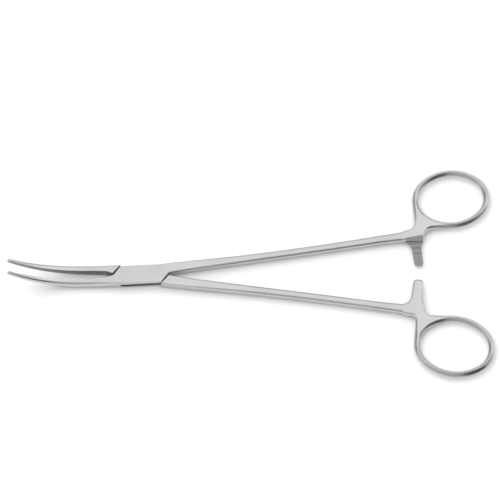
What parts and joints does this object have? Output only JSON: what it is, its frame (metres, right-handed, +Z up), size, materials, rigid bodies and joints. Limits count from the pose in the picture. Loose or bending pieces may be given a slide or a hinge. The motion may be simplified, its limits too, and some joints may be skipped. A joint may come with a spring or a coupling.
{
  "type": "thoracic forceps",
  "caption": "Curved thoracic forceps with serrated jaws, a box lock, long slim shanks, finger rings and a ratchet.",
  "frame": {"origin": "on the pivot's axis, in the flat back face of the box lock", "axes": "+X runs along the instrument to the finger rings, +Y across it towards the box half's ring, +Z up out of the lock's front face, the way the jaws curve"},
  "size_m": [0.2179, 0.1001, 0.0163],
  "materials": {
    "satin_steel": "satin"
  },
  "bodies": {
    "box_side": {"box_half": "satin_steel", "pivot_pin": "satin_steel"},
    "male_side": {"male_half": "satin_steel"}
  },
  "joints": [
    {"name": "box_lock_hinge", "type": "hinge", "parent": "box_side", "child": "male_side", "pos_m": [0, 0, 0.0026], "axis": [0, 0, -1], "range_deg": [-4.7, 70]}
  ]
}
